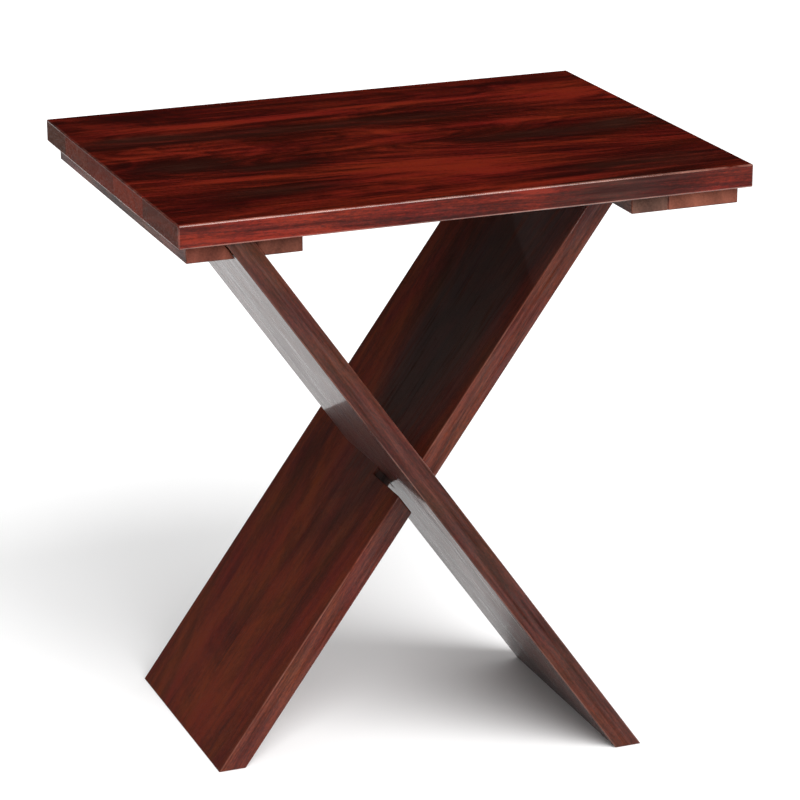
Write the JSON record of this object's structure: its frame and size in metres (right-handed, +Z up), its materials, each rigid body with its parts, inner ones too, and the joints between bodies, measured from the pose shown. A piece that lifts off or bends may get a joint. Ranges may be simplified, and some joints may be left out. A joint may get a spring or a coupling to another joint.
{
  "type": "folding tray table",
  "caption": "Low rectangular solid-wood tray table whose two slab legs cross in an X, halved into each other, so that the top lifts off and the legs slide apart to pack flat.",
  "frame": {"origin": "on the floor under the middle of the tabletop", "axes": "+X along the tabletop's long side and its grain, -Y towards the user, +Z up"},
  "size_m": [0.508, 0.384, 0.52],
  "materials": {
    "tabletop_wood": "deep red-brown stained rosewood, clear gloss lacquer",
    "batten_wood": "red-brown stained hardwood, satin lacquer",
    "leg_wood": "dark red-brown stained rosewood, satin to gloss lacquer",
    "screw_steel": "yellow zinc plated steel"
  },
  "bodies": {
    "leg_a": {"leg_a_front_board": "leg_wood", "leg_a_back_board": "leg_wood"},
    "leg_b": {"leg_b_front_board": "leg_wood", "leg_b_back_board": "leg_wood"},
    "top": {"top_board_1": "tabletop_wood", "top_board_2": "tabletop_wood", "top_board_3": "tabletop_wood", "top_board_4": "tabletop_wood", "top_board_5": "tabletop_wood", "batten_left_outer": "batten_wood", "batten_left_inner": "batten_wood", "batten_right_inner": "batten_wood", "batten_right_outer": "batten_wood", "screw_batten_left_outer_1": "screw_steel", "screw_batten_left_outer_2": "screw_steel", "screw_batten_left_outer_3": "screw_steel", "screw_batten_left_outer_4": "screw_steel", "screw_batten_left_inner_1": "screw_steel", "screw_batten_left_inner_2": "screw_steel", "screw_batten_left_inner_3": "screw_steel", "screw_batten_left_inner_4": "screw_steel", "screw_batten_right_inner_1": "screw_steel", "screw_batten_right_inner_2": "screw_steel", "screw_batten_right_inner_3": "screw_steel", "screw_batten_right_inner_4": "screw_steel", "screw_batten_right_outer_1": "screw_steel", "screw_batten_right_outer_2": "screw_steel", "screw_batten_right_outer_3": "screw_steel", "screw_batten_right_outer_4": "screw_steel"}
  },
  "joints": [
    {"name": "top_lift", "type": "slide", "parent": "leg_a", "child": "top", "axis": [-0.575, 0, 0.8181], "range_m": [0, 0.06]},
    {"name": "leg_b_slide", "type": "slide", "parent": "leg_a", "child": "leg_b", "axis": [0, 1, 0], "range_m": [0, 0.085]}
  ]
}
